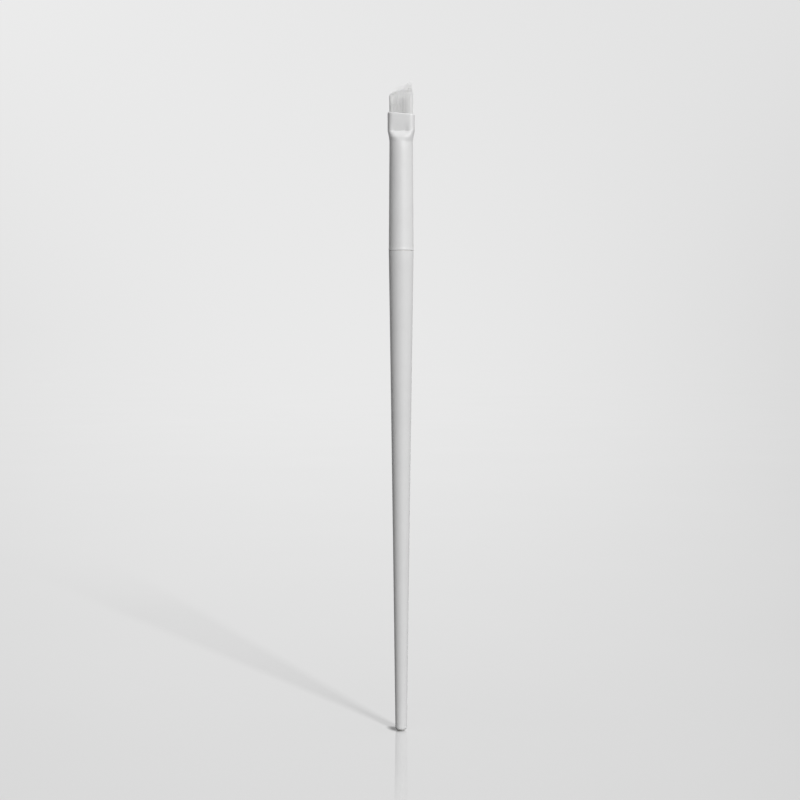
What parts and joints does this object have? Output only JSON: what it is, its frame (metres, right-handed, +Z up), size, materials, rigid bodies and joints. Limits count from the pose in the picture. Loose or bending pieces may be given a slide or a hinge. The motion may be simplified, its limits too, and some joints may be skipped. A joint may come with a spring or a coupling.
{
  "type": "angled liner brush",
  "caption": "Slim cosmetic brush with a tapered lacquered handle, a crimped tube ferrule and a slanted tuft of pale filaments.",
  "frame": {"origin": "centre of the handle's rounded butt, on the surface that it stands on", "axes": "+Z up the brush from the butt to the tuft, X across the flat of the crimp with the tuft's long side at +X, Y through its thickness"},
  "size_m": [0.007, 0.0066, 0.17],
  "materials": {
    "handle_lacquer": "turned wood under a pale grey satin lacquer",
    "ferrule_coating": "drawn tube with a pale grey satin coating",
    "filament": "white translucent synthetic filaments with tapered tips",
    "resin": "clear set resin",
    "adhesive": "thin set film of adhesive"
  },
  "bodies": {
    "root": {"handle": "handle_lacquer", "ferrule": "ferrule_coating", "bristle_tuft": "filament", "root_plug": "resin", "tenon_glue": "adhesive"}
  },
  "joints": []
}
